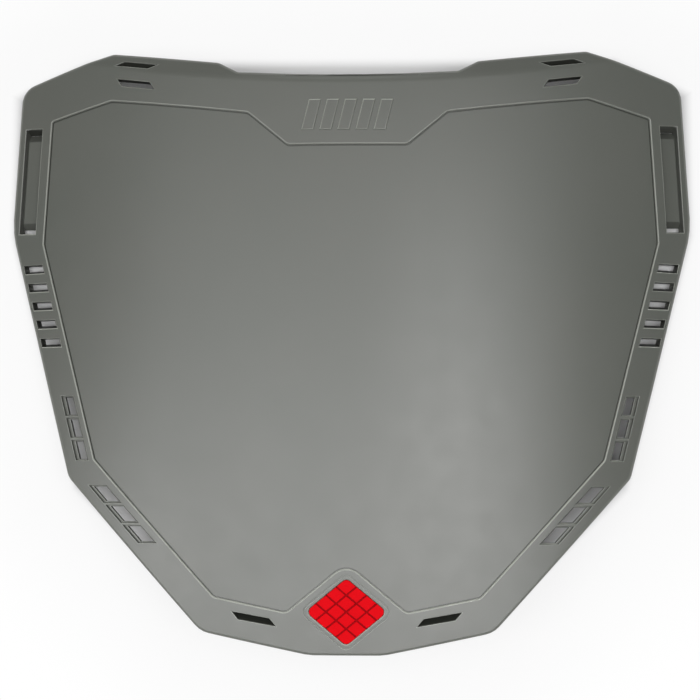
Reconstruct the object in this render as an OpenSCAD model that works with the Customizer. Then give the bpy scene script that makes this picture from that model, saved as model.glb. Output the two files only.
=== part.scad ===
// Racing number board: one curved moulded plate with a raised band round a plain number panel,
// flush strap channels, slots and ribbed vents in the band, and a red inlay in a lozenge boss.
// The plate lies face up: +X to its right, +Y to its top, +Z out of its face, in millimetres.
// Its bend is a cylinder along Y. Outlines are plan views, cut straight down as the mould draws.

/* [Plate] */
// Width across the side corners, to their sharp points
plate_w = 251.4; // [237:0.2:270]
// Height from the tabs to the chin
plate_h = 215.4; // [206:0.2:235]
// Radius of the bend, at the face
bend_r = 300; // [260:5:450]
// Wall of the moulding
wall = 3.2; // [2.8:0.1:4]
// Depth of the number panel below the band
panel_step = 0.9; // [0.5:0.1:1.2]

/* [Outline] */
// Distance between the outer corners of the two tabs
tab_span = 172.5; // [166:0.5:178]
// Distance between the inner corners of the two tabs
tab_gap = 93; // [88:0.5:98]
// Height of a tab's inner corner below its outer one
tab_fall = 5.8; // [4.5:0.1:7]
// Radius of a tab's outer corner
tab_r = 4; // [2:0.5:5]
// Distance between the feet of the ramps beside the tabs
ramp_span = 78.8; // [74:0.2:84]
// Depth of a ramp's foot below the tabs
ramp_fall = 9.9; // [8.5:0.1:11]
// Radius of the corners at both ends of a ramp
ramp_r = 3; // [1.5:0.5:3.5]
// Depth of the top edge's middle below the tabs
dip_fall = 11.6; // [11.2:0.1:13]
// Shoulder corner in from the side corner
shoulder_in = 3.2; // [1:0.2:7]
// Shoulder corner below the tabs
shoulder_fall = 10.5; // [8:0.5:14]
// Radius of the shoulder corner
shoulder_r = 7; // [4:0.5:9]
// Side corner below the tabs
side_fall = 64; // [62:0.5:68]
// Radius of the side corner
side_r = 28; // [10:1:40]
// Hip corner in from the side corner
hip_in = 24.6; // [22:0.2:28]
// Hip corner above the chin
hip_rise = 60.8; // [58:0.2:64]
// Radius of the hip corner
hip_r = 6; // [3:0.5:10]
// Distance between the jaw corners
jaw_span = 102; // [97:0.2:109]
// Jaw corners above the chin
jaw_rise = 7.5; // [6:0.1:9]
// Radius of the jaw corners
jaw_r = 9; // [5:0.5:14]
// Width of the flat chin
chin_w = 25.8; // [20:0.2:32]
// Radius of the bend at each end of the chin
chin_r = 15; // [5:1:30]

/* [Bent strip] */
// Angle by which the top strip falls back
strip_lean = 22; // [16:1:26]
// Crease below the middle of the top edge
crease_fall = 2.1; // [1.4:0.1:3]
// Bend radius of the strip, flatter than the plate
strip_r = 441; // [400:1:480]

/* [Number panel] */
// Band beside the upper side edges
band_side = 13.5; // [12.8:0.1:14.2]
// Band beside the lower side edges
band_flank = 11.4; // [11.2:0.1:12.4]
// Band beside the hips
band_hip = 11.7; // [11.2:0.1:12.5]
// Band above the chin
band_chin = 12.8; // [12.2:0.1:13.6]
// Panel's shoulder below the tabs
panel_shoulder_fall = 23.8; // [22:0.1:25]
// Distance between the panel's top corners
panel_top_span = 173; // [168:0.5:178]
// Panel's top corners below the tabs
panel_top_fall = 18.1; // [17:0.1:19]
// Width of the tongue at its root
tongue_root_w = 71; // [66:0.5:76]
// Root of the tongue below the tabs
tongue_root_fall = 25.1; // [24:0.1:26.5]
// Width of the tongue at its tip
tongue_tip_w = 42.5; // [40:0.5:48]
// Tip of the tongue below the tabs
tongue_tip_fall = 37.1; // [35:0.1:40]
// Radius of the corners at the tongue's tip
tongue_r = 3; // [2:0.1:4]
// Radius of the panel's other corners
panel_r = 2.5; // [1.5:0.1:3.5]

/* [Tongue bars] */
// Number of raised bars on the tongue
bar_count = 5; // [3:1:5]
// Width of a bar
bar_w = 4.4; // [3.5:0.1:4.8]
// Height of a bar, up the plate
bar_h = 11; // [8:0.5:12]
// Distance from one bar to the next
bar_pitch = 6.4; // [5.6:0.1:6.6]
// Lean of the bars from upright
bar_lean = 14; // [5:1:18]
// Raise of the bars above the band
bar_raise = 0.5; // [0.3:0.1:0.8]
// Middle of the bars below the tabs
bar_fall = 26.4; // [25.4:0.1:27.4]

/* [Lozenge boss] */
// Centre of the lozenge above the chin
lozenge_rise = 14.9; // [14.5:0.1:16]
// Slope of the lozenge's sides
lozenge_slope = 39.3; // [36:0.1:42]
// Half height of the boss, to its sharp point
boss_half_h = 16.8; // [16.4:0.1:18]
// Radius of the boss's top
boss_r = 6.5; // [4:0.5:8]
// Radius of the corners where the boss meets the band
boss_foot_r = 3; // [1.5:0.1:4]
// Half height of the groove round the inlay, to its sharp point
groove_half_h = 13.6; // [13.3:0.1:13.9]
// Radius of that groove's outer corners
groove_r = 3; // [2:0.1:4]
// Width of that groove
groove_w = 0.5; // [0.4:0.05:0.7]
// Depth of that groove
groove_depth = 0.3; // [0.2:0.05:0.5]
// Half height of the inlay's recess, to its sharp point
recess_half_h = 11.6; // [11:0.1:12]
// Radius of the recess's corners
recess_r = 2; // [1.2:0.1:2.6]
// Depth of the recess
recess_depth = 1.6; // [1.4:0.1:1.8]

/* [Inlay] */
// Thickness of the inlay
inlay_t = 1.2; // [0.9:0.1:1.3]
// Gap between the inlay and its recess, all round
inlay_gap = 0.1; // [0.05:0.05:0.2]
// Tiles along each side of the inlay
inlay_tiles = 4; // [3:1:5]
// Width of the lines between the tiles
inlay_line_w = 0.5; // [0.4:0.05:0.7]
// Depth of the lines between the tiles
inlay_line_depth = 0.3; // [0.2:0.05:0.4]

/* [Strap channels] */
// Length of a channel
channel_l = 39; // [36:0.5:41]
// Width of a channel
channel_w = 7.1; // [6:0.1:7.4]
// Middle of a channel below the tabs
channel_fall = 45.5; // [44.5:0.1:46.5]
// Plate left outside a channel
channel_margin = 2.7; // [2.3:0.1:2.9]
// Depth of the channel's floor below the face
channel_depth = 1.9; // [1.4:0.1:2]
// Length of the hole at each end of a channel
channel_hole = 1.8; // [1.6:0.1:2.6]
// Length by which the floor's ends slope into a hole
channel_ramp = 2.1; // [1.6:0.1:2.4]

/* [Side slots] */
// Number of slots in each side
side_slots = 5; // [3:1:5]
// Width of a side slot, across the plate
side_slot_w = 7.5; // [7:0.1:8.2]
// Height of a side slot at the face
side_slot_h = 3; // [2.5:0.1:3.3]
// Distance from one side slot to the next, up the plate
side_slot_pitch = 6.82; // [6.4:0.02:7]
// Middle of the highest side slot below the tabs
side_slot_fall = 78.5; // [77.7:0.1:79.6]
// Plate left outside the side slots, across the plate
side_slot_margin = 1.7; // [1.5:0.1:2.2]
// Lean of a side slot's lower wall
side_slot_lean = 20; // [10:1:22]

/* [Tab and chin slots] */
// Length of a tab slot
tab_slot_l = 12.2; // [10.5:0.1:13]
// Distance between the middles of the left and right tab slots
tab_slot_span = 154.2; // [151:0.2:157]
// Height of the upper tab slots
tab_slot_upper_h = 1.7; // [1.3:0.1:2]
// Middle of the upper tab slots below the tabs
tab_slot_upper_fall = 5.3; // [4.9:0.1:5.6]
// Height of the lower tab slots
tab_slot_lower_h = 2.2; // [1.6:0.1:2.6]
// Middle of the lower tab slots below the tabs
tab_slot_lower_fall = 12.5; // [12:0.1:13]
// Length of a chin slot
chin_slot_l = 13; // [11:0.1:14]
// Height of a chin slot
chin_slot_h = 2; // [1.4:0.1:2.4]
// Outward shift of an upper tab slot's lower side
tab_slot_upper_shear = 3; // [1:0.1:4]
// Inward shift of a lower tab slot's lower side
tab_slot_lower_shear = 2; // [1:0.1:3]
// Inward shift of a chin slot's lower side
chin_slot_shear = 2.4; // [1:0.1:3]
// Distance between the middles of the two chin slots
chin_slot_span = 64.3; // [62:0.1:67]
// Middle of the chin slots above the chin
chin_slot_rise = 12.2; // [11.4:0.1:12.8]
// Slope of the tab and chin slots
slot_slope = 9.3; // [6:0.1:12]

/* [Vents] */
// Cells in each vent
vent_cells = 3; // [2:1:4]
// Height of the flank vents
flank_vent_h = 23; // [20:0.5:24]
// Width of the flank vents, across the plate
flank_vent_w = 4.6; // [4.2:0.1:4.9]
// Middle of the flank vents above the chin
flank_vent_rise = 78.5; // [77.5:0.1:79.5]
// Plate left outside the flank vents, square to the edge
flank_vent_margin = 4.6; // [4.2:0.1:4.8]
// Height of the hip vents
hip_vent_h = 19.9; // [17:0.1:21]
// Width of the hip vents, across the plate
hip_vent_w = 6.4; // [5.8:0.1:6.8]
// Middle of the hip vents above the chin
hip_vent_rise = 47.9; // [47:0.1:49]
// Plate left outside the hip vents, square to the edge
hip_vent_margin = 4.1; // [3.8:0.1:4.4]
// Rib between two cells
vent_rib = 1; // [0.8:0.1:1.4]
// Ledge along the outer side of the cells, across the plate
vent_ledge = 1.3; // [1:0.1:1.6]
// Depth of the ledge below the face
vent_depth = 0.9; // [0.6:0.1:1.2]
// Rim between the ledge's outline and a cell on the other sides
vent_rim = 0.35; // [0.3:0.05:0.5]

/* [Hidden] */

// A rounded corner turns by about this much from one point to the next
arc_step = 12;
// Points along each half of the dipped top edge
dip_steps = 6;
// How far a cutting solid runs past the surface that it cuts
past = 1;
// Curves are drawn this finely in a preview
$fn = 180;

// Levels of the plan, measured from the middle of the height
top_y = plate_h / 2;
chin_y = -plate_h / 2;
half_w = plate_w / 2;

// Sharp corners of the outline's right half
tab_outer = [tab_span / 2, top_y];
tab_inner = [tab_gap / 2, top_y - tab_fall];
ramp_foot = [ramp_span / 2, top_y - ramp_fall];
shoulder = [half_w - shoulder_in, top_y - shoulder_fall];
side = [half_w, top_y - side_fall];
hip = [half_w - hip_in, chin_y + hip_rise];
jaw = [jaw_span / 2, chin_y + jaw_rise];
chin = [chin_w / 2, chin_y];

// Where the plate's lowest edge lies below the top of its arch
side_cut = corner_cut(shoulder, side, hip, side_r);
arch_h = bend_r - sqrt(pow(bend_r - wall, 2) - pow(half_w - side_cut, 2));

lozenge_y = chin_y + lozenge_rise;
crease_y = top_y - dip_fall - crease_fall;
tongue_tip_y = top_y - tongue_tip_fall;

function unit(v) = v / norm(v);

// Where the line through a along u meets the line through b along v
function meet(a, u, b, v) =
    let (s = ((b.x - a.x) * v.y - (b.y - a.y) * v.x) / (u.x * v.y - u.y * v.x))
    a + s * u;

// Inward normal of an edge of the outline, which runs clockwise
function inward(a, b) = unit([b.y - a.y, a.x - b.x]);

// Corner b of the outline a, b, c, moved in by d1 from edge ab and by d2 from edge bc
function inset_corner(a, b, c, d1, d2) =
    meet(b + d1 * inward(a, b), b - a, b + d2 * inward(b, c), c - b);

// Point of edge ab at height y, moved in by d square to the edge
function edge_point(a, b, y, d) =
    meet(a + d * inward(a, b), b - a, [0, y], [1, 0]);

// How far rounding corner b by radius r draws it back
function corner_cut(a, b, c, r) =
    let (half = acos(unit(a - b) * unit(c - b)) / 2)
    r / sin(half) - r;

// Points of the arc of radius r that rounds corner b between a and c
function corner_arc(a, b, c, r) =
    let (
        u = unit(a - b),
        v = unit(c - b),
        half = acos(max(-1, min(1, u * v))) / 2,
        turn = 180 - 2 * half,
        steps = max(1, ceil(turn / arc_step)),
        centre = b + unit(u + v) * r / sin(half),
        from = b + u * r / tan(half) - centre,
        way = u.x * v.y - u.y * v.x > 0 ? -1 : 1
    )
    [for (i = [0:steps])
        let (t = way * turn * i / steps)
        centre + [from.x * cos(t) - from.y * sin(t), from.x * sin(t) + from.y * cos(t)]];

// Outline with each corner [x, y, radius] rounded; a radius of 0 leaves the point as it is
function rounded(corners) =
    let (n = len(corners))
    [for (i = [0:n - 1])
        let (
            a = corners[(i + n - 1) % n],
            b = corners[i],
            c = corners[(i + 1) % n]
        )
        each b[2] > 0
            ? corner_arc([a.x, a.y], [b.x, b.y], [c.x, c.y], b[2])
            : [[b.x, b.y]]];

// Right half from top to bottom, closed by its mirror image
function both_halves(half) =
    concat(half, [for (i = [len(half) - 1:-1:0]) if (half[i].x > 0) [-half[i].x, half[i].y, half[i][2]]]);

// Dip of the top edge: a parabola from the middle to the ramp's foot
function dip_y(x) = top_y - dip_fall + (dip_fall - ramp_fall) * pow(x / ramp_foot.x, 2);

plate_corners = both_halves(concat(
    [for (i = [0:dip_steps - 1]) let (x = ramp_foot.x * i / dip_steps) [x, dip_y(x), 0]],
    [
        [ramp_foot.x, ramp_foot.y, ramp_r],
        [tab_inner.x, tab_inner.y, ramp_r],
        [tab_outer.x, tab_outer.y, tab_r],
        [shoulder.x, shoulder.y, shoulder_r],
        [side.x, side.y, side_r],
        [hip.x, hip.y, hip_r],
        [jaw.x, jaw.y, jaw_r],
        [chin.x, chin.y, chin_r]
    ]
));

// Panel: it follows the outline's sides, and goes round the tongue and the boss
panel_shoulder = edge_point(shoulder, side, top_y - panel_shoulder_fall, band_side);
panel_side = inset_corner(shoulder, side, hip, band_side, band_flank);
panel_hip = inset_corner(side, hip, jaw, band_flank, band_hip);
panel_jaw = inset_corner(hip, jaw, chin, band_hip, band_chin);
boss_top = [0, lozenge_y + boss_half_h];
boss_foot = meet(
    chin + band_chin * inward(jaw, chin), chin - jaw,
    boss_top, [cos(lozenge_slope), -sin(lozenge_slope)]
);

panel_corners = both_halves([
    [tongue_tip_w / 2, tongue_tip_y, tongue_r],
    [tongue_root_w / 2, top_y - tongue_root_fall, panel_r],
    [panel_top_span / 2, top_y - panel_top_fall, panel_r],
    [panel_shoulder.x, panel_shoulder.y, panel_r],
    [panel_side.x, panel_side.y, panel_r],
    [panel_hip.x, panel_hip.y, panel_r],
    [panel_jaw.x, panel_jaw.y, panel_r],
    [boss_foot.x, boss_foot.y, boss_foot_r],
    [boss_top.x, boss_top.y, boss_r]
]);

// Solid bounded by the bend's cylinder, down by depth from the face
module bend(depth) {
    translate([0, 0, -bend_r])
        rotate([90, 0, 0])
            cylinder(r = bend_r - depth, h = 2 * plate_h, center = true);
}

// Solid bounded by the flatter, tilted cylinder of the top strip
module strip_bend(depth) {
    translate([0, crease_y, 0])
        rotate([-strip_lean, 0, 0])
            translate([0, 0, -strip_r])
                rotate([90, 0, 0])
                    cylinder(r = strip_r - depth, h = 4 * plate_h, center = true);
}

// Plan outline as a straight solid, from below the plate's edge to above its arch
module column(points) {
    translate([0, 0, -arch_h - past])
        linear_extrude(height = arch_h + 3 * past)
            polygon(points);
}

// What lies less than depth below the face, within a plan outline
module skin(points, depth) {
    intersection() {
        column(points);
        difference() {
            bend(-2 * past);
            bend(depth);
        }
    }
}

// Left and right copies
module pair() {
    children();
    mirror([1, 0, 0])
        children();
}

// Places children on the face at plan position p, turned with the bend
module on_face(p) {
    translate([0, 0, -bend_r])
        rotate([0, asin(p.x / bend_r), 0])
            translate([0, p.y, bend_r])
                children();
}

// Slanted four-sided outline: width w along X and height h along Y round p, its sides along way
function slanted(p, w, h, way) =
    let (lean = way.x / way.y * h / 2)
    [
        p + [w / 2 + lean, h / 2],
        p + [w / 2 - lean, -h / 2],
        p + [-w / 2 - lean, -h / 2],
        p + [-w / 2 + lean, h / 2]
    ];

// Lozenge with half height h to its sharp point and corners of radius r
function lozenge(h, r) =
    let (w = h / tan(lozenge_slope))
    rounded([
        [0, lozenge_y + h, r],
        [w, lozenge_y, r],
        [0, lozenge_y - h, r],
        [-w, lozenge_y, r]
    ]);

// The plate's wall, creased where its top strip leans back
module arched_wall() {
    difference() {
        intersection() {
            column(rounded(plate_corners));
            bend(0);
            strip_bend(0);
        }
        intersection() {
            bend(wall);
            strip_bend(wall);
            translate([-plate_w / 2, -plate_h, -2 * arch_h])
                cube([plate_w, 2 * plate_h, 3 * arch_h]);
        }
    }
}

// Channel that a strap lies in, with a hole at each end where it passes through
module strap_channel() {
    middle_y = top_y - channel_fall;
    outer = edge_point(shoulder, side, middle_y, channel_margin);
    way = unit(side - shoulder);
    on_face([outer.x - channel_w / 2, middle_y])
        rotate([0, 0, atan2(way.x, -way.y)]) {
            translate([-channel_w / 2, -channel_l / 2, -channel_depth])
                cube([channel_w, channel_l, channel_depth + past]);
            for (end = [0, 1])
                mirror([0, end, 0])
                    channel_end();
        }
}

// Hole at the channel's upper end, with the floor sloping into it
module channel_end() {
    end_y = channel_l / 2;
    floor_y = end_y - channel_hole;
    rotate([90, 0, 90])
        linear_extrude(height = channel_w, center = true)
            polygon([
                [end_y, past],
                [end_y, -wall - past],
                [floor_y, -wall - past],
                [floor_y, -wall],
                [floor_y - channel_ramp, -channel_depth],
                [floor_y - channel_ramp, past]
            ]);
}

// Slots down the side, each with its outer end along the edge and its lower wall leaning
module side_slot_row() {
    way = unit(side - hip);
    for (i = [0:side_slots - 1]) {
        y = top_y - side_slot_fall - i * side_slot_pitch;
        middle = [edge_point(side, hip, y, 0).x - side_slot_margin - side_slot_w / 2, y];
        intersection() {
            column(slanted(middle - way / way.y * past / 2, side_slot_w, side_slot_h + past, way));
            on_face(middle - [0, side_slot_h / 2])
                rotate([side_slot_lean, 0, 0])
                    translate([-side_slot_w, 0, -3 * wall])
                        cube([2 * side_slot_w, 2 * side_slot_h, 6 * wall]);
        }
    }
}

// Sheared slot of length l and height h at p, rising outwards; shear slides its lower side outwards
module sloped_slot(p, l, h, shear) {
    run = l / 2 * [cos(slot_slope), sin(slot_slope)];
    rise = h / 2 * [-sin(slot_slope), cos(slot_slope)] - shear / 2 * unit(run);
    column([p + run + rise, p + run - rise, p - run - rise, p - run + rise]);
}

// Vent: cells between ribs that stay flush with the face, each with a ledge along its outer side
module vent(middle, w, h, way) {
    pitch = (h + vent_rib) / vent_cells;
    cell_h = pitch - vent_rib;
    for (i = [0:vent_cells - 1]) {
        y = (i - (vent_cells - 1) / 2) * pitch;
        p = middle + [way.x / way.y * y, y];
        skin(slanted(p, w, cell_h, way), vent_depth);
        column(slanted(
            p - [(vent_ledge - vent_rim) / 2, 0],
            w - vent_ledge - vent_rim,
            cell_h - 2 * vent_rim,
            way
        ));
    }
}

module flank_vent() {
    y = chin_y + flank_vent_rise;
    outer = edge_point(side, hip, y, flank_vent_margin);
    vent(outer - [flank_vent_w / 2, 0], flank_vent_w, flank_vent_h, unit(side - hip));
}

module hip_vent() {
    y = chin_y + hip_vent_rise;
    outer = edge_point(hip, jaw, y, hip_vent_margin);
    vent(outer - [hip_vent_w / 2, 0], hip_vent_w, hip_vent_h, unit(hip - jaw));
}

// Raised bars across the tongue
module tongue_bars() {
    for (i = [0:bar_count - 1]) {
        x = (i - (bar_count - 1) / 2) * bar_pitch;
        way = [sin(bar_lean), cos(bar_lean)];
        intersection() {
            column(slanted([x, top_y - bar_fall], bar_w, bar_h, way));
            difference() {
                bend(-bar_raise);
                bend(wall / 2);
            }
        }
    }
}

// Fine groove round the inlay
module lozenge_groove() {
    inner_half_h = groove_half_h - groove_w / cos(lozenge_slope);
    difference() {
        skin(lozenge(groove_half_h, groove_r), groove_depth);
        column(lozenge(inner_half_h, groove_r - groove_w));
    }
}

module plate() {
    color([0.40, 0.41, 0.39])
        translate([0, 0, arch_h]) {
            difference() {
                arched_wall();
                skin(rounded(panel_corners), panel_step);
                lozenge_groove();
                skin(lozenge(recess_half_h, recess_r), recess_depth);
                pair() {
                    strap_channel();
                    side_slot_row();
                    flank_vent();
                    hip_vent();
                    sloped_slot(
                        [tab_slot_span / 2, top_y - tab_slot_upper_fall],
                        tab_slot_l, tab_slot_upper_h, tab_slot_upper_shear
                    );
                    sloped_slot(
                        [tab_slot_span / 2, top_y - tab_slot_lower_fall],
                        tab_slot_l, tab_slot_lower_h, -tab_slot_lower_shear
                    );
                    sloped_slot(
                        [chin_slot_span / 2, chin_y + chin_slot_rise],
                        chin_slot_l, chin_slot_h, -chin_slot_shear
                    );
                }
            }
            tongue_bars();
        }
}

// Inlay on the floor of its recess, with a grid of fine lines along its sides
module inlay() {
    half_h = recess_half_h - inlay_gap / cos(lozenge_slope);
    half_x = half_h / tan(lozenge_slope);
    face_depth = recess_depth - inlay_t;
    color([0.82, 0.02, 0.05])
        translate([0, 0, arch_h])
            difference() {
                intersection() {
                    column(lozenge(half_h, recess_r - inlay_gap));
                    bend(face_depth);
                }
                bend(recess_depth);
                intersection() {
                    for (line = [1:inlay_tiles - 1])
                        pair()
                            inlay_line(half_x, half_h, 2 * line / inlay_tiles - 1);
                    difference() {
                        bend(-2 * past);
                        bend(face_depth + inlay_line_depth);
                    }
                }
            }
}

// Straight wall across the inlay, parallel to one pair of its sides, at share t between them
module inlay_line(half_x, half_h, t) {
    way = unit([half_x, half_h]);
    run = (norm([half_x, half_h]) + past) / 2 * way;
    square_to = [-way.y, way.x] * inlay_line_w / 2;
    middle = [0, lozenge_y] + t * [half_x, -half_h] / 2;
    column([
        middle + run + square_to,
        middle + run - square_to,
        middle - run - square_to,
        middle - run + square_to
    ]);
}

plate();
inlay();
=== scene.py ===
"""Racing number board: a curved grey moulded plate with a red tiled inlay, lying on a table.

Each piece is made from a copy of its CAD solid. The copy is pressed flat, its edges are rounded,
it is cut into narrow strips, and it is bent back over the same cylinder, so that the bend,
the crease of the top strip and every edge are smooth.
"""

import math

import bmesh
import bpy
from mathutils import Matrix, Vector


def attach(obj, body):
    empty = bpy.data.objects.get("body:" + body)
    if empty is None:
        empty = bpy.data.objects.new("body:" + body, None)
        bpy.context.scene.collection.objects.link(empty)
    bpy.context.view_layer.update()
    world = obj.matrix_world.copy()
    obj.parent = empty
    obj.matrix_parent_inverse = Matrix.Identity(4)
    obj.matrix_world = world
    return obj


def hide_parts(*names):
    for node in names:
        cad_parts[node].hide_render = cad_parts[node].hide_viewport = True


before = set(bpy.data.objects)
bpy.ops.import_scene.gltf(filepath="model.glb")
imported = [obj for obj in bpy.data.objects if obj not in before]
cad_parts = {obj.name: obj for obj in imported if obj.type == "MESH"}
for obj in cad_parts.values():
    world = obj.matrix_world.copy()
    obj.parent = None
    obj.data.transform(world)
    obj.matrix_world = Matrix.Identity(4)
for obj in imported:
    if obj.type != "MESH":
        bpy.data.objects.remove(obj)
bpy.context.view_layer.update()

MM = 0.001

# The moulding's face, as in the part's source
ARCH = 30.958 * MM  # top of the arch above the table
BEND_R = 300 * MM
STRIP_R = 441 * MM
STRIP_LEAN = math.radians(22)
CREASE_Y = 94.0 * MM
CREASE_ROLL = 0.45 * MM  # four times what the rounding takes off the crease

# Pieces are bent in strips this wide, and cut along the crease at these distances from it
STRIP_W = 4 * MM
PLATE_HALF_W = 126 * MM
INLAY_HALF_W = 18 * MM
CREASE_CUTS = (-1.8, -1.2, -0.6, 0, 0.6, 1.2, 1.8)  # millimetres

# Levels of the flat copies, as ranges of height in millimetres from the face of the band
BAR_TOPS = (0.3, 0.8)
BAND = (-0.05, 0.05)
PANEL = (-1.1, -0.85)
LEDGES = (-1.4, -0.6)
CHANNEL_FLOORS = (-2.2, -1.7)
TILE_TOPS = (-0.7, -0.3)
TILE_GROOVES = (-1.2, -0.62)
BELOW_FACE = -1 * MM  # points lower than this are on the lower rim of an opening, or on the back

# What counts as one point, a sliver, one flat face, an edge, and an edge that stays sharp
SAME_POINT = 0.002 * MM
SLIVER = 0.15 * MM
ONE_FACE = math.radians(1.5)
EDGE_TURN = math.radians(30)
SHARP_TURN = math.radians(50)

# How far the small edges are rounded. The rims that open in the band have their own list below
BAR_ROUND = 0.4 * MM
LEDGE_ROUND = 0.2 * MM
TILE_ROUND = 0.12 * MM

# How much painted highlight, a paler colour, a rounding gets: the usual share, how much more where
# it faces the board's top, and the least
HIGHLIGHT_SHARE = 0.28
HIGHLIGHT_TOWARDS_TOP = 0.9
LEAST_HIGHLIGHT = 0.15

# How dark the painted shade is in openings, at the panel's foot and in the channels, and the width
# of its line at the foot of a wall
OPENING_SHADE = 1.0
PANEL_SHADE = 0.8
CHANNEL_SHADE = 0.6
PANEL_SHADE_W = 0.4 * MM
CHANNEL_SHADE_W = 0.3 * MM


# ---------------------------------------------------------------- bending


def bend_drop(x, radius):
    """Height of a cylinder along Y at x, from its highest line down, so 0 or less."""
    return math.sqrt(radius * radius - x * x) - radius


def face_levels(x, y):
    """Heights of the main bend and of the flatter strip that leans back from the crease."""
    main = ARCH + bend_drop(x, BEND_R)
    leaned = bend_drop(x, STRIP_R) / math.cos(STRIP_LEAN)
    strip = ARCH + leaned - (y - CREASE_Y) * math.tan(STRIP_LEAN)
    return main, strip


def sharp_face(x, y):
    """The lower of the two levels, which is the face of the CAD solid."""
    return min(face_levels(x, y))


def rolled_face(x, y):
    """The same face with the crease rolled over."""
    main, strip = face_levels(x, y)
    share = min(max(0.5 + 0.5 * (strip - main) / CREASE_ROLL, 0.0), 1.0)
    return strip + (main - strip) * share - CREASE_ROLL * share * (1 - share)


def crease_shift(x):
    """How far the crease lies above its middle point, in plan."""
    gap = bend_drop(x, STRIP_R) / math.cos(STRIP_LEAN) - bend_drop(x, BEND_R)
    return gap / math.tan(STRIP_LEAN)


def shift_z(bm, height, sign):
    for v in bm.verts:
        v.co.z += sign * height(v.co.x, v.co.y)


def cut_through(bm, point, normal):
    bmesh.ops.bisect_plane(
        bm, geom=bm.verts[:] + bm.edges[:] + bm.faces[:], dist=SAME_POINT,
        plane_co=point, plane_no=normal,
    )


def flat_copy(node):
    """The node's mesh, merged and pressed flat, with its coplanar triangles joined."""
    bm = bmesh.new()
    bm.from_mesh(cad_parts[node].data)
    # Per face, the share of painted highlight, and below it the share of painted shade, for the
    # material
    bm.faces.layers.float.new("painted_highlight")
    bm.faces.layers.float.new("painted_shade")
    bmesh.ops.remove_doubles(bm, verts=bm.verts, dist=SAME_POINT)
    shift_z(bm, sharp_face, -1)
    bmesh.ops.dissolve_degenerate(bm, edges=bm.edges, dist=SLIVER)
    bmesh.ops.dissolve_limit(
        bm, angle_limit=ONE_FACE, use_dissolve_boundaries=False, verts=bm.verts, edges=bm.edges,
    )
    return bm


def bend_back(bm, half_width):
    """Cuts the flat copy into strips, and along the crease, and bends it."""
    x = -half_width
    while x <= half_width:
        cut_through(bm, (x, 0, 0), (1, 0, 0))
        x += STRIP_W
    for v in bm.verts:
        v.co.y -= crease_shift(v.co.x)
    for off in CREASE_CUTS:
        cut_through(bm, (0, CREASE_Y + off * MM, 0), (0, 1, 0))
    for v in bm.verts:
        v.co.y += crease_shift(v.co.x)
    shift_z(bm, rolled_face, 1)
    for e in bm.edges:
        e.smooth = len(e.link_faces) != 2 or e.calc_face_angle() < SHARP_TURN


# ---------------------------------------------------------------- edges and faces


def once(parts):
    """These parts in their order, each one once."""
    return list(dict.fromkeys(parts))


def is_wall(face):
    """Whether it is steeper than 53 degrees."""
    return abs(face.normal.z) < 0.6


def is_level(face):
    """Whether it faces up, to within 26 degrees."""
    return face.normal.z > 0.9


def within(level, parts):
    """Those of the edges or faces that lie within this level."""
    low, high = (height * MM for height in level)
    return [part for part in parts if all(low < v.co.z < high for v in part.verts)]


def level_faces(bm, level):
    return [f for f in within(level, bm.faces) if is_level(f)]


def sharp_edges(bm, level, convex=True):
    """The edges of the forms in this level."""
    return [e for e in within(level, bm.edges) if len(e.link_faces) == 2
            and e.calc_face_angle() >= EDGE_TURN and e.is_convex == convex]


def chains(edges):
    """Groups of edges that hang together, each with the corners of its box."""
    left = dict.fromkeys(edges)
    found = []
    while left:
        todo = [left.popitem()[0]]
        group = list(todo)
        while todo:
            for v in todo.pop().verts:
                for e in v.link_edges:
                    if e in left:
                        del left[e]
                        todo.append(e)
                        group.append(e)
        points = [v.co for e in group for v in e.verts]
        low = Vector([min(p[i] for p in points) for i in range(3)])
        high = Vector([max(p[i] for p in points) for i in range(3)])
        found.append((group, low, high))
    return found


def round_off(bm, edges, width, segments, even_highlight=None):
    """Rounds these edges, and marks the roundings for a painted highlight, a paler colour in the
    material.

    Without an even share, those that face the board's top get the most painted highlight, as in the
    photograph.
    """
    edges = [e for e in edges if e.is_valid]
    rounding = bmesh.ops.bevel(
        bm, geom=edges + once(v for e in edges for v in e.verts), offset=width,
        offset_type="OFFSET", segments=segments, profile=0.5, affect="EDGES",
        clamp_overlap=False, material=-1,
    )
    painted_highlight = bm.faces.layers.float["painted_highlight"]
    for f in rounding["faces"]:
        f.normal_update()
        # Painted highlight: a paler colour on the roundings, more where they face the board's top
        f[painted_highlight] = even_highlight or min(max(HIGHLIGHT_SHARE + HIGHLIGHT_TOWARDS_TOP * f.normal.y, LEAST_HIGHLIGHT), 1.0)


# Sets how dark the painted shade is on these faces
def mark_painted_shade(bm, faces, level):
    painted_shade = bm.faces.layers.float["painted_shade"]
    for f in faces:
        f[painted_shade] = level


def mark_walls(bm, edges):
    """Marks the walls below these edges for painted shade, the shade inside an opening."""
    mark_painted_shade(bm, [f for e in edges for f in e.link_faces if is_wall(f)], OPENING_SHADE)


def painted_shade_foot(bm, faces, width, level):
    """Marks a narrow line round each of these faces, at the foot of the walls, for painted shade.
    """
    line = bmesh.ops.inset_individual(bm, faces=faces, thickness=width, use_even_offset=True)
    mark_painted_shade(bm, line["faces"], level)


# ---------------------------------------------------------------- materials


def colour(text):
    """Linear colour from an sRGB hex value."""
    parts = [int(text[i:i + 2], 16) / 255 for i in (1, 3, 5)]
    return [c / 12.92 if c <= 0.04045 else ((c + 0.055) / 1.055) ** 2.4 for c in parts] + [1]


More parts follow.
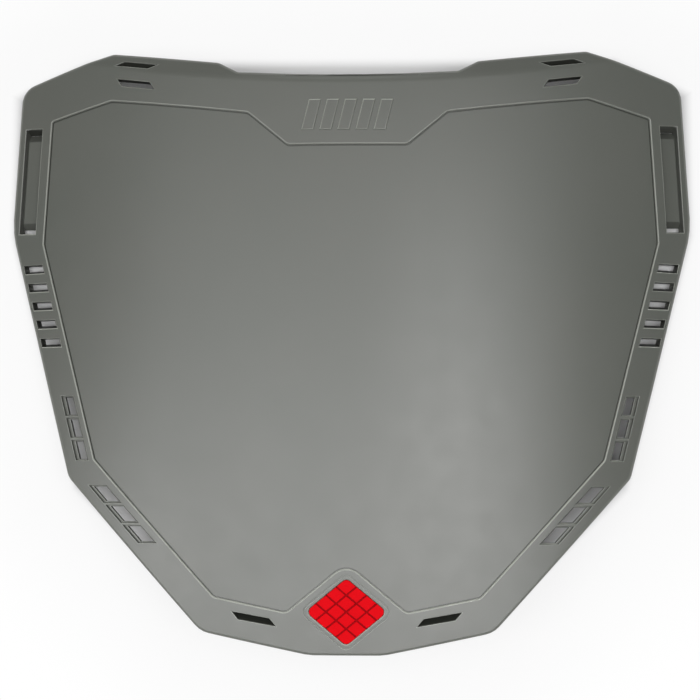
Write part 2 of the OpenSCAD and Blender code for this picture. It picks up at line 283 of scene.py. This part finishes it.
def add(tree, kind, settings=None, links=None):
    """A node with its settings, which are inputs or properties by name, and its incoming links."""
    node = tree.nodes.new(kind)
    for key, value in (settings or {}).items():
        if isinstance(key, int) or key in node.inputs:
            node.inputs[key].default_value = value
        else:
            setattr(node, key, value)
    for key, source in (links or {}).items():
        tree.links.new(source, node.inputs[key])
    return node


def new_material(name):
    material = bpy.data.materials.new(name)
    material.use_nodes = True
    material.node_tree.nodes.clear()
    return material, material.node_tree


def per_metre(size_mm):
    """Noise scale for features of this size."""
    return 1 / (size_mm * MM)


def satin_polypropylene():
    """Injection-moulded polypropylene from a finely spark-eroded tool: a soft, even satin.

    Its rounded edges carry a painted highlight, a paler colour, strongest where they face the
    board's top, and painted shade darkens its openings, the ends of its strap channels and the feet
    of its walls.
    """
    material, tree = new_material("satin grey moulded polypropylene")
    place = add(tree, "ShaderNodeTexCoord").outputs["Object"]
    painted_highlight = add(tree, "ShaderNodeAttribute", {"attribute_name": "painted_highlight"})
    painted_shade = add(tree, "ShaderNodeAttribute", {"attribute_name": "painted_shade"})
    # The melt's flow leaves cloudy patches of some 45 mm, hardly darker or paler than the rest
    flow = add(tree, "ShaderNodeTexNoise",
               {"Scale": per_metre(45), "Detail": 3, "Roughness": 0.5}, {"Vector": place})
    tone = add(tree, "ShaderNodeMix",
               {"data_type": "RGBA", 6: colour("#555853"), 7: colour("#5b5c57")},
               {0: flow.outputs["Fac"]})
    # Painted highlight: the rounded edges are mixed towards a pale grey
    edge = add(tree, "ShaderNodeMix", {"data_type": "RGBA", 7: colour("#b6b9b0")},
               {0: painted_highlight.outputs["Fac"], 6: tone.outputs[2]})
    # Painted shade: openings, channel ramps and the feet of walls are mixed towards near black
    shade_amount = add(tree, "ShaderNodeMath", {"operation": "MULTIPLY", 1: 0.92},
               {0: painted_shade.outputs["Fac"]})
    foot = add(tree, "ShaderNodeMix", {"data_type": "RGBA", 7: colour("#232420")},
               {0: shade_amount.outputs[0], 6: edge.outputs[2]})
    # Wiping leaves patches of some 9 mm that are a little smoother
    wipe = add(tree, "ShaderNodeTexNoise",
               {"Scale": per_metre(9), "Detail": 4, "Roughness": 0.6}, {"Vector": place})
    rough = add(tree, "ShaderNodeMapRange",
                {"From Min": 0.3, "From Max": 0.7, "To Min": 0.29, "To Max": 0.34},
                {"Value": wipe.outputs["Fac"]})
    # The eroded grain is 0.05 mm on the real one, and is drawn at 0.9 mm to show at all
    grain = add(tree, "ShaderNodeTexNoise",
                {"Scale": per_metre(0.9), "Detail": 2, "Roughness": 0.6}, {"Vector": place})
    bump = add(tree, "ShaderNodeBump", {"Strength": 0.15, "Distance": 0.01 * MM},
               {"Height": grain.outputs["Fac"]})
    shader = add(tree, "ShaderNodeBsdfPrincipled", {"IOR": 1.49},
                 {"Base Color": foot.outputs[2], "Roughness": rough.outputs["Result"],
                  "Normal": bump.outputs["Normal"]})
    add(tree, "ShaderNodeOutputMaterial", links={"Surface": shader.outputs["BSDF"]})
    return material


def matt_red_rubber():
    """Moulded red thermoplastic rubber, which gives a deep colour and hardly a shine.

    The grooves between its tiles are darker, as painted shade.
    """
    material, tree = new_material("matt red moulded rubber")
    place = add(tree, "ShaderNodeTexCoord").outputs["Object"]
    # The pigment is uneven over some 6 mm, about a tile
    cloud = add(tree, "ShaderNodeTexNoise", {"Scale": per_metre(6), "Detail": 2},
                {"Vector": place})
    tone = add(tree, "ShaderNodeMix",
               {"data_type": "RGBA", 6: colour("#ca020e"), 7: colour("#d30310")},
               {0: cloud.outputs["Fac"]})
    painted_shade = add(tree, "ShaderNodeAttribute", {"attribute_name": "painted_shade"})
    # Painted shade: the grooves and the tiles' walls are mixed towards a deep red
    line = add(tree, "ShaderNodeMix", {"data_type": "RGBA", 7: colour("#8e0109")},
               {0: painted_shade.outputs["Fac"], 6: tone.outputs[2]})
    # The mould's fine grain, 0.4 mm
    fine = add(tree, "ShaderNodeTexNoise", {"Scale": per_metre(0.4), "Detail": 1},
               {"Vector": place})
    bump = add(tree, "ShaderNodeBump", {"Strength": 0.2, "Distance": 0.02 * MM},
               {"Height": fine.outputs["Fac"]})
    shader = add(tree, "ShaderNodeBsdfPrincipled",
                 {"IOR": 1.5, "Roughness": 0.6, "Specular IOR Level": 0.04},
                 {"Base Color": line.outputs[2], "Normal": bump.outputs["Normal"]})
    add(tree, "ShaderNodeOutputMaterial", links={"Surface": shader.outputs["BSDF"]})
    return material


# ---------------------------------------------------------------- the plate and the inlay


# The rims that open in the band, largest first, with how they are rounded. A rim belongs to the
# first row that it is both wider and taller than, in millimetres
RIMS = (
    # wider than, taller than, rounded by, facets, even share of painted highlight, an opening
    (240, 0, 1.0, 5, 0.1, False),  # outer edge
    (100, 0, 0.6, 4, None, False),  # step down to the panel
    (27, 0, 0.12, 2, None, False),  # groove round the lozenge
    (20, 0, 0.3, 3, None, False),  # lozenge recess
    (0, 30, 0.4, 3, None, True),  # strap channels
    (0, 0, 0.3, 3, None, True),  # slots and vents
)
PANEL_STEP = 1  # its row


def rim_of(low, high):
    """The row of a rim with these corners."""
    size = (high - low) / MM
    return next(i for i, rim in enumerate(RIMS) if size.x > rim[0] and size.y > rim[1])


# Openings with leaning walls: the ends of their x and y in millimetres, how far the lower rim
# lies in +Y for each millimetre down, and how dark the painted shade on the walls is
LEANING = (
    (69, 86, 100, 105.5, -math.tan(STRIP_LEAN), 1.0),  # upper tab slots, square to the strip
    (24, 41, -99.5, -91, 0.62, 1.0),  # chin slots
    (111, 125, 81, 83, -0.45, 0.6),  # upper end wall of the strap channels
)


def lean_walls(bm):
    for low_x, high_x, low_y, high_y, lean, shade_amount in LEANING:
        for v in bm.verts:
            x, y = abs(v.co.x) / MM, v.co.y / MM
            if low_x < x < high_x and low_y < y < high_y and v.co.z < BELOW_FACE:
                v.co.y -= v.co.z * lean
                # Painted shade on the leaning walls
                mark_painted_shade(bm, [f for f in v.link_faces if is_wall(f)], shade_amount)


# The rims of the side slots are this wide and lie between these heights, in millimetres. The wall
# at a slot's outer end, which this reach takes in, lies this much further in for each millimetre
# down
SIDE_SLOT_W = (7, 9)
SIDE_SLOT_Y = (-1, 32)
SLOT_END_REACH = 2 * MM
SIDE_SLOT_LEAN = 0.3


def lean_side_slots(bm):
    for group, low, high in chains(sharp_edges(bm, BAND)):
        wide = SIDE_SLOT_W[0] < (high - low).x / MM < SIDE_SLOT_W[1]
        if not (wide and SIDE_SLOT_Y[0] < low.y / MM and high.y / MM < SIDE_SLOT_Y[1]):
            continue
        side = math.copysign(1, low.x)
        outer = max(low.x * side, high.x * side)
        for v in bm.verts:
            at_end = abs(v.co.x * side - outer) < SLOT_END_REACH
            if at_end and low.y - MM < v.co.y < high.y + MM and v.co.z < BELOW_FACE:
                v.co.x += side * v.co.z * SIDE_SLOT_LEAN


# Heights in millimetres at which the band is cut straight across, one through each opening, and
# how far a cut may move to keep clear of the corners beside it
BAND_CUTS = (
    102.4, 95.2,  # tab slots
    62,  # strap channels
    29.2, 22.4, 15.6, 8.7, 1.9,  # side slots
    -21.2, -29.2, -37.2,  # flank vents
    -52.8, -59.8, -66.8,  # hip vents
    -95.5,  # chin slots
)
CUT_REACH = 1.2 * MM


def clear_height(verts, middle):
    """The height near this middle that lies furthest from any of the verts."""
    low, high = middle - CUT_REACH, middle + CUT_REACH
    heights = sorted([low, high] + [v.co.y for v in verts if low < v.co.y < high])
    return sum(max(zip(heights, heights[1:]), key=lambda gap: gap[1] - gap[0])) / 2


def clear_band(bm):
    """Cuts the band across its openings, so that the skew edges between two rims can go."""
    rims = once(v for e in sharp_edges(bm, BAND) for v in e.verts)
    for middle in BAND_CUTS:
        band = level_faces(bm, BAND)
        cut = bmesh.ops.bisect_plane(
            bm, geom=band + once(part for f in band for part in (*f.edges, *f.verts)),
            dist=SAME_POINT, plane_co=(0, clear_height(rims, middle * MM), 0), plane_no=(0, 1, 0),
        )
        for part in cut["geom_cut"]:
            if isinstance(part, bmesh.types.BMEdge):
                part.seam = True
    edges = once(e for f in level_faces(bm, BAND) for e in f.edges)
    bmesh.ops.dissolve_limit(
        bm, angle_limit=ONE_FACE, use_dissolve_boundaries=False, edges=edges, delimit={"SEAM"},
    )


# The panel's upper outer corners lie past this x and y. Edges shorter than the third value make
# up a rounded corner, and the last one is the share of its radius that it keeps
CORNER_X = 100 * MM
CORNER_Y = 70 * MM
CORNER_EDGE = 2 * MM
CORNER_KEEP = 0.4


def rounded_corners(rim):
    """The verts of each rounded corner in a closed rim, with the ends of the edges beside it."""
    for run, low, high in chains([e for e in rim if e.calc_length() < CORNER_EDGE]):
        verts = once(v for e in run for v in e.verts)
        beside = [e for e in rim if e not in run and (e.verts[0] in verts) != (e.verts[1] in verts)]
        if len(beside) == 2:
            yield verts, [(e.verts[0].co.xy, e.verts[1].co.xy) for e in beside]


def meeting_point(first, second):
    """Where two lines meet, each given by two points."""
    a, b = first
    c, d = second
    way, other = b - a, d - c
    turn = way.x * other.y - way.y * other.x
    return a + way * (((c.x - a.x) * other.y - (c.y - a.y) * other.x) / turn)


def sharpen_corners(bm):
    """Draws the panel's upper outer corners towards the points where their sides would meet."""
    for level, convex in ((BAND, True), (PANEL, False)):
        for group, low, high in chains(sharp_edges(bm, level, convex)):
            if rim_of(low, high) != PANEL_STEP:
                continue
            for verts, sides in rounded_corners(group):
                middle = sum((v.co for v in verts), Vector()) / len(verts)
                if middle.y < CORNER_Y or abs(middle.x) < CORNER_X:
                    continue
                corner = meeting_point(*sides)
                for v in verts:
                    v.co.xy = corner + (v.co.xy - corner) * CORNER_KEEP


# The strap channels lie past this x, their floors are larger than this, and the ramps at the
# ends of their holes lie lower than the floors, at slopes whose normals rise between these
CHANNEL_X = 105 * MM
FLOOR_AREA = 50 * MM * MM
RAMP_TOP = -1.9 * MM
RAMP_RISE = (0.3, 0.98)


def channel_floors(bm):
    return [f for f in level_faces(bm, CHANNEL_FLOORS) if f.calc_area() > FLOOR_AREA]


def channel_ramps(bm):
    ramps = []
    for f in bm.faces:
        middle = f.calc_center_median()
        deep = abs(middle.x) > CHANNEL_X and middle.z < RAMP_TOP
        if deep and RAMP_RISE[0] < f.normal.z < RAMP_RISE[1]:
            ramps.append(f)
    return ramps


def moulded_plate():
    bm = flat_copy("plate")
    lean_walls(bm)
    lean_side_slots(bm)
    clear_band(bm)
    sharpen_corners(bm)
    rims = [[] for row in RIMS]
    for group, low, high in chains(sharp_edges(bm, BAND)):
        rims[rim_of(low, high)] += group
    bars = sharp_edges(bm, BAR_TOPS)
    ledges = sharp_edges(bm, LEDGES)
    # Painted shade on the walls of the ledges
    mark_walls(bm, ledges)
    for (wide, tall, width, facets, highlight_share, opening), edges in zip(RIMS, rims):
        # Painted shade on the walls of the openings
        if opening:
            mark_walls(bm, edges)
        round_off(bm, edges, width * MM, facets, highlight_share)
    round_off(bm, ledges, LEDGE_ROUND, 2)
    round_off(bm, bars, BAR_ROUND, 3)
    panel = max(level_faces(bm, PANEL), key=lambda f: f.calc_area())
    # Painted shade: a line round the panel's foot, the channels' ramps, and a line round the
    # channel floors
    painted_shade_foot(bm, [panel], PANEL_SHADE_W, PANEL_SHADE)
    mark_painted_shade(bm, channel_ramps(bm), CHANNEL_SHADE)
    painted_shade_foot(bm, channel_floors(bm), CHANNEL_SHADE_W, CHANNEL_SHADE)
    bend_back(bm, PLATE_HALF_W)
    return bm


def tiled_inlay():
    bm = flat_copy("inlay")
    tiles = sharp_edges(bm, TILE_TOPS)
    # Painted shade on the tiles' walls
    mark_walls(bm, tiles)
    round_off(bm, tiles, TILE_ROUND, 2)
    # Painted shade in the grooves between the tiles
    mark_painted_shade(bm, level_faces(bm, TILE_GROOVES), OPENING_SHADE)
    bend_back(bm, INLAY_HALF_W)
    return bm


def finished(bm, name, node, material):
    """Makes the piece that stands for this CAD node."""
    mesh = bpy.data.meshes.new(name)
    bm.to_mesh(mesh)
    bm.free()
    piece = bpy.data.objects.new(name, mesh)
    bpy.context.scene.collection.objects.link(piece)
    mesh.materials.append(material)
    for p in mesh.polygons:
        p.use_smooth = True
    weighted = piece.modifiers.new("even shading", "WEIGHTED_NORMAL")
    weighted.mode = "FACE_AREA"
    weighted.weight = 50
    weighted.keep_sharp = True
    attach(piece, "root")
    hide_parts(node)


grey = satin_polypropylene()
red = matt_red_rubber()
finished(moulded_plate(), "moulded_plate", "plate", grey)
finished(tiled_inlay(), "tiled_inlay", "inlay", red)

# ---------------------------------------------------------------- table, light and camera


def seen_directly(tree):
    """1 for the camera and for shine and glass, and 0 for light that falls on things."""
    path = add(tree, "ShaderNodeLightPath")
    shine = add(tree, "ShaderNodeMath", {"operation": "MAXIMUM"},
                {0: path.outputs["Is Camera Ray"], 1: path.outputs["Is Glossy Ray"]})
    return add(tree, "ShaderNodeMath", {"operation": "MAXIMUM"},
               {0: shine.outputs[0], 1: path.outputs["Is Transmission Ray"]}).outputs[0]


# The sides of the board's outline, by the way that they face in degrees and their distance in
# millimetres from the origin, for x taken as positive
OUTLINE_SIDES = (
    (0, 125.4), (-15, 110.1), (-45, 106.8), (-78, 108.6), (-90, 107.7), (65, 139.2), (90, 107.6),
)


def past_outline(tree):
    """How many metres a place on the table lies past the board's outline, below 0 inside it."""
    place = add(tree, "ShaderNodeTexCoord").outputs["Object"]
    positive = add(tree, "ShaderNodeVectorMath", {"operation": "ABSOLUTE"}, {0: place})
    ends = add(tree, "ShaderNodeSeparateXYZ", None, {0: place})
    mirrored = add(tree, "ShaderNodeSeparateXYZ", None, {0: positive.outputs["Vector"]})
    plan = add(tree, "ShaderNodeCombineXYZ", None,
               {"X": mirrored.outputs["X"], "Y": ends.outputs["Y"]})
    furthest = None
    for degrees, reach in OUTLINE_SIDES:
        way = math.radians(degrees)
        along = add(tree, "ShaderNodeVectorMath",
                    {"operation": "DOT_PRODUCT", 1: (math.cos(way), math.sin(way), 0)},
                    {0: plan.outputs["Vector"]})
        past = add(tree, "ShaderNodeMath", {"operation": "SUBTRACT", 1: reach * MM},
                   {0: along.outputs["Value"]}).outputs[0]
        if furthest is not None:
            past = add(tree, "ShaderNodeMath", {"operation": "MAXIMUM"},
                       {0: furthest, 1: past}).outputs[0]
        furthest = past
    return furthest


# How the table turns white past the outline: from and to this many metres, by this share
AT_OUTLINE = {"From Min": -0.002, "From Max": 0.003, "To Max": 0.8}
FURTHER_OUT = {"From Min": 0.003, "From Max": 0.06, "To Max": 0.2}


def table():
    """A pale table top, which takes the board's shadow, and is seen as white past its outline."""
    bm = bmesh.new()
    bmesh.ops.create_grid(bm, x_segments=1, y_segments=1, size=20)
    mesh = bpy.data.meshes.new("table")
    bm.to_mesh(mesh)
    bm.free()
    material, tree = new_material("white table")
    past = past_outline(tree)
    near, far = (
        add(tree, "ShaderNodeMapRange", {"interpolation_type": "SMOOTHSTEP", **fade},
            {"Value": past}).outputs["Result"]
        for fade in (AT_OUTLINE, FURTHER_OUT)
    )
    white_share = add(tree, "ShaderNodeMath", None, {0: near, 1: far})
    share = add(tree, "ShaderNodeMath", {"operation": "MULTIPLY"},
                {0: white_share.outputs[0], 1: seen_directly(tree)})
    lit = add(tree, "ShaderNodeBsdfDiffuse", {"Color": colour("#d4d4d4")})
    white = add(tree, "ShaderNodeEmission", {"Color": (1, 1, 1, 1), "Strength": 1})
    both = add(tree, "ShaderNodeMixShader", None,
               {0: share.outputs[0], 1: lit.outputs["BSDF"], 2: white.outputs["Emission"]})
    add(tree, "ShaderNodeOutputMaterial", links={"Surface": both.outputs["Shader"]})
    mesh.materials.append(material)
    top = bpy.data.objects.new("table", mesh)
    bpy.context.scene.collection.objects.link(top)


# The softboxes, which hang level above the table. No two hang at one height, because lamps that
# overlap in one plane hide each other
SOFTBOXES = (
    # name, height, low x, high x, low y, high y in metres, watts
    ("wide softbox", 0.92, -0.8, 0.72, -0.3, 0.3, 5.8),
    ("middle softbox", 0.90, -0.5, 0.62, -0.25, 0.05, 2.6),
    ("front softbox", 0.91, -0.8, 0.79, -0.4, -0.1, 3.4),
    ("small softbox", 0.89, 0.15, 0.45, -0.12, 0.18, 0.85),
    ("left softbox", 0.93, -1.3, -0.6, -0.4, 0.0, 4.0),
    ("back softbox", 0.94, -0.3, 0.3, 0.8, 1.3, 1.8),
)


def hang_softboxes():
    for name, height, low_x, high_x, low_y, high_y, watts in SOFTBOXES:
        light = bpy.data.lights.new(name, "AREA")
        light.shape = "RECTANGLE"
        light.size = high_x - low_x
        light.size_y = high_y - low_y
        light.energy = watts
        lamp = bpy.data.objects.new(name, light)
        bpy.context.scene.collection.objects.link(lamp)
        lamp.location = ((low_x + high_x) / 2, (low_y + high_y) / 2, height)


def studio():
    """Pale walls all round, and a dark ceiling, which is where a level shiny face looks."""
    world = bpy.data.worlds.new("studio")
    bpy.context.scene.world = world
    world.use_nodes = True
    tree = world.node_tree
    tree.nodes.clear()
    ray = add(tree, "ShaderNodeTexCoord")
    parts = add(tree, "ShaderNodeSeparateXYZ", None, {0: ray.outputs["Generated"]})
    wall = add(tree, "ShaderNodeMapRange",
               {"interpolation_type": "SMOOTHSTEP", "From Min": 0.1, "From Max": 0.35,
                "To Min": 1, "To Max": 0},
               {"Value": parts.outputs["Z"]})
    strength = add(tree, "ShaderNodeMath", {"operation": "MULTIPLY"},
                   {0: wall.outputs["Result"], 1: seen_directly(tree)})
    sky = add(tree, "ShaderNodeBackground", {"Color": (1, 1, 1, 1)},
              {"Strength": strength.outputs[0]})
    add(tree, "ShaderNodeOutputWorld", None, {"Surface": sky.outputs["Background"]})


# The photograph was taken from 0.51 m above the face, a little right of its middle and below it
AIM = Vector((0, -2.25 * MM, 30.85 * MM))
CAMERA_DISTANCE = 509.1 * MM
CAMERA_TURNS = (("Y", 1.79), ("X", 4.30), ("Z", 0.12))  # degrees, the outermost first
CAMERA_SHIFT = 3.2 / 700  # the board lies this share of the frame left of the photograph's middle


def placed_camera():
    """The camera, at the photograph's viewing angle."""
    camera_data = bpy.data.cameras.new("camera")
    camera_data.lens = 75
    camera_data.sensor_width = 36
    camera_data.shift_x = CAMERA_SHIFT
    camera = bpy.data.objects.new("camera", camera_data)
    bpy.context.scene.collection.objects.link(camera)
    stand = Matrix.Translation(AIM)
    for axis, degrees in CAMERA_TURNS:
        stand @= Matrix.Rotation(math.radians(degrees), 4, axis)
    camera.matrix_world = stand @ Matrix.Translation((0, 0, CAMERA_DISTANCE))
    return camera


table()
studio()
hang_softboxes()
bpy.context.scene.camera = placed_camera()
bpy.context.scene.view_settings.view_transform = "Standard"
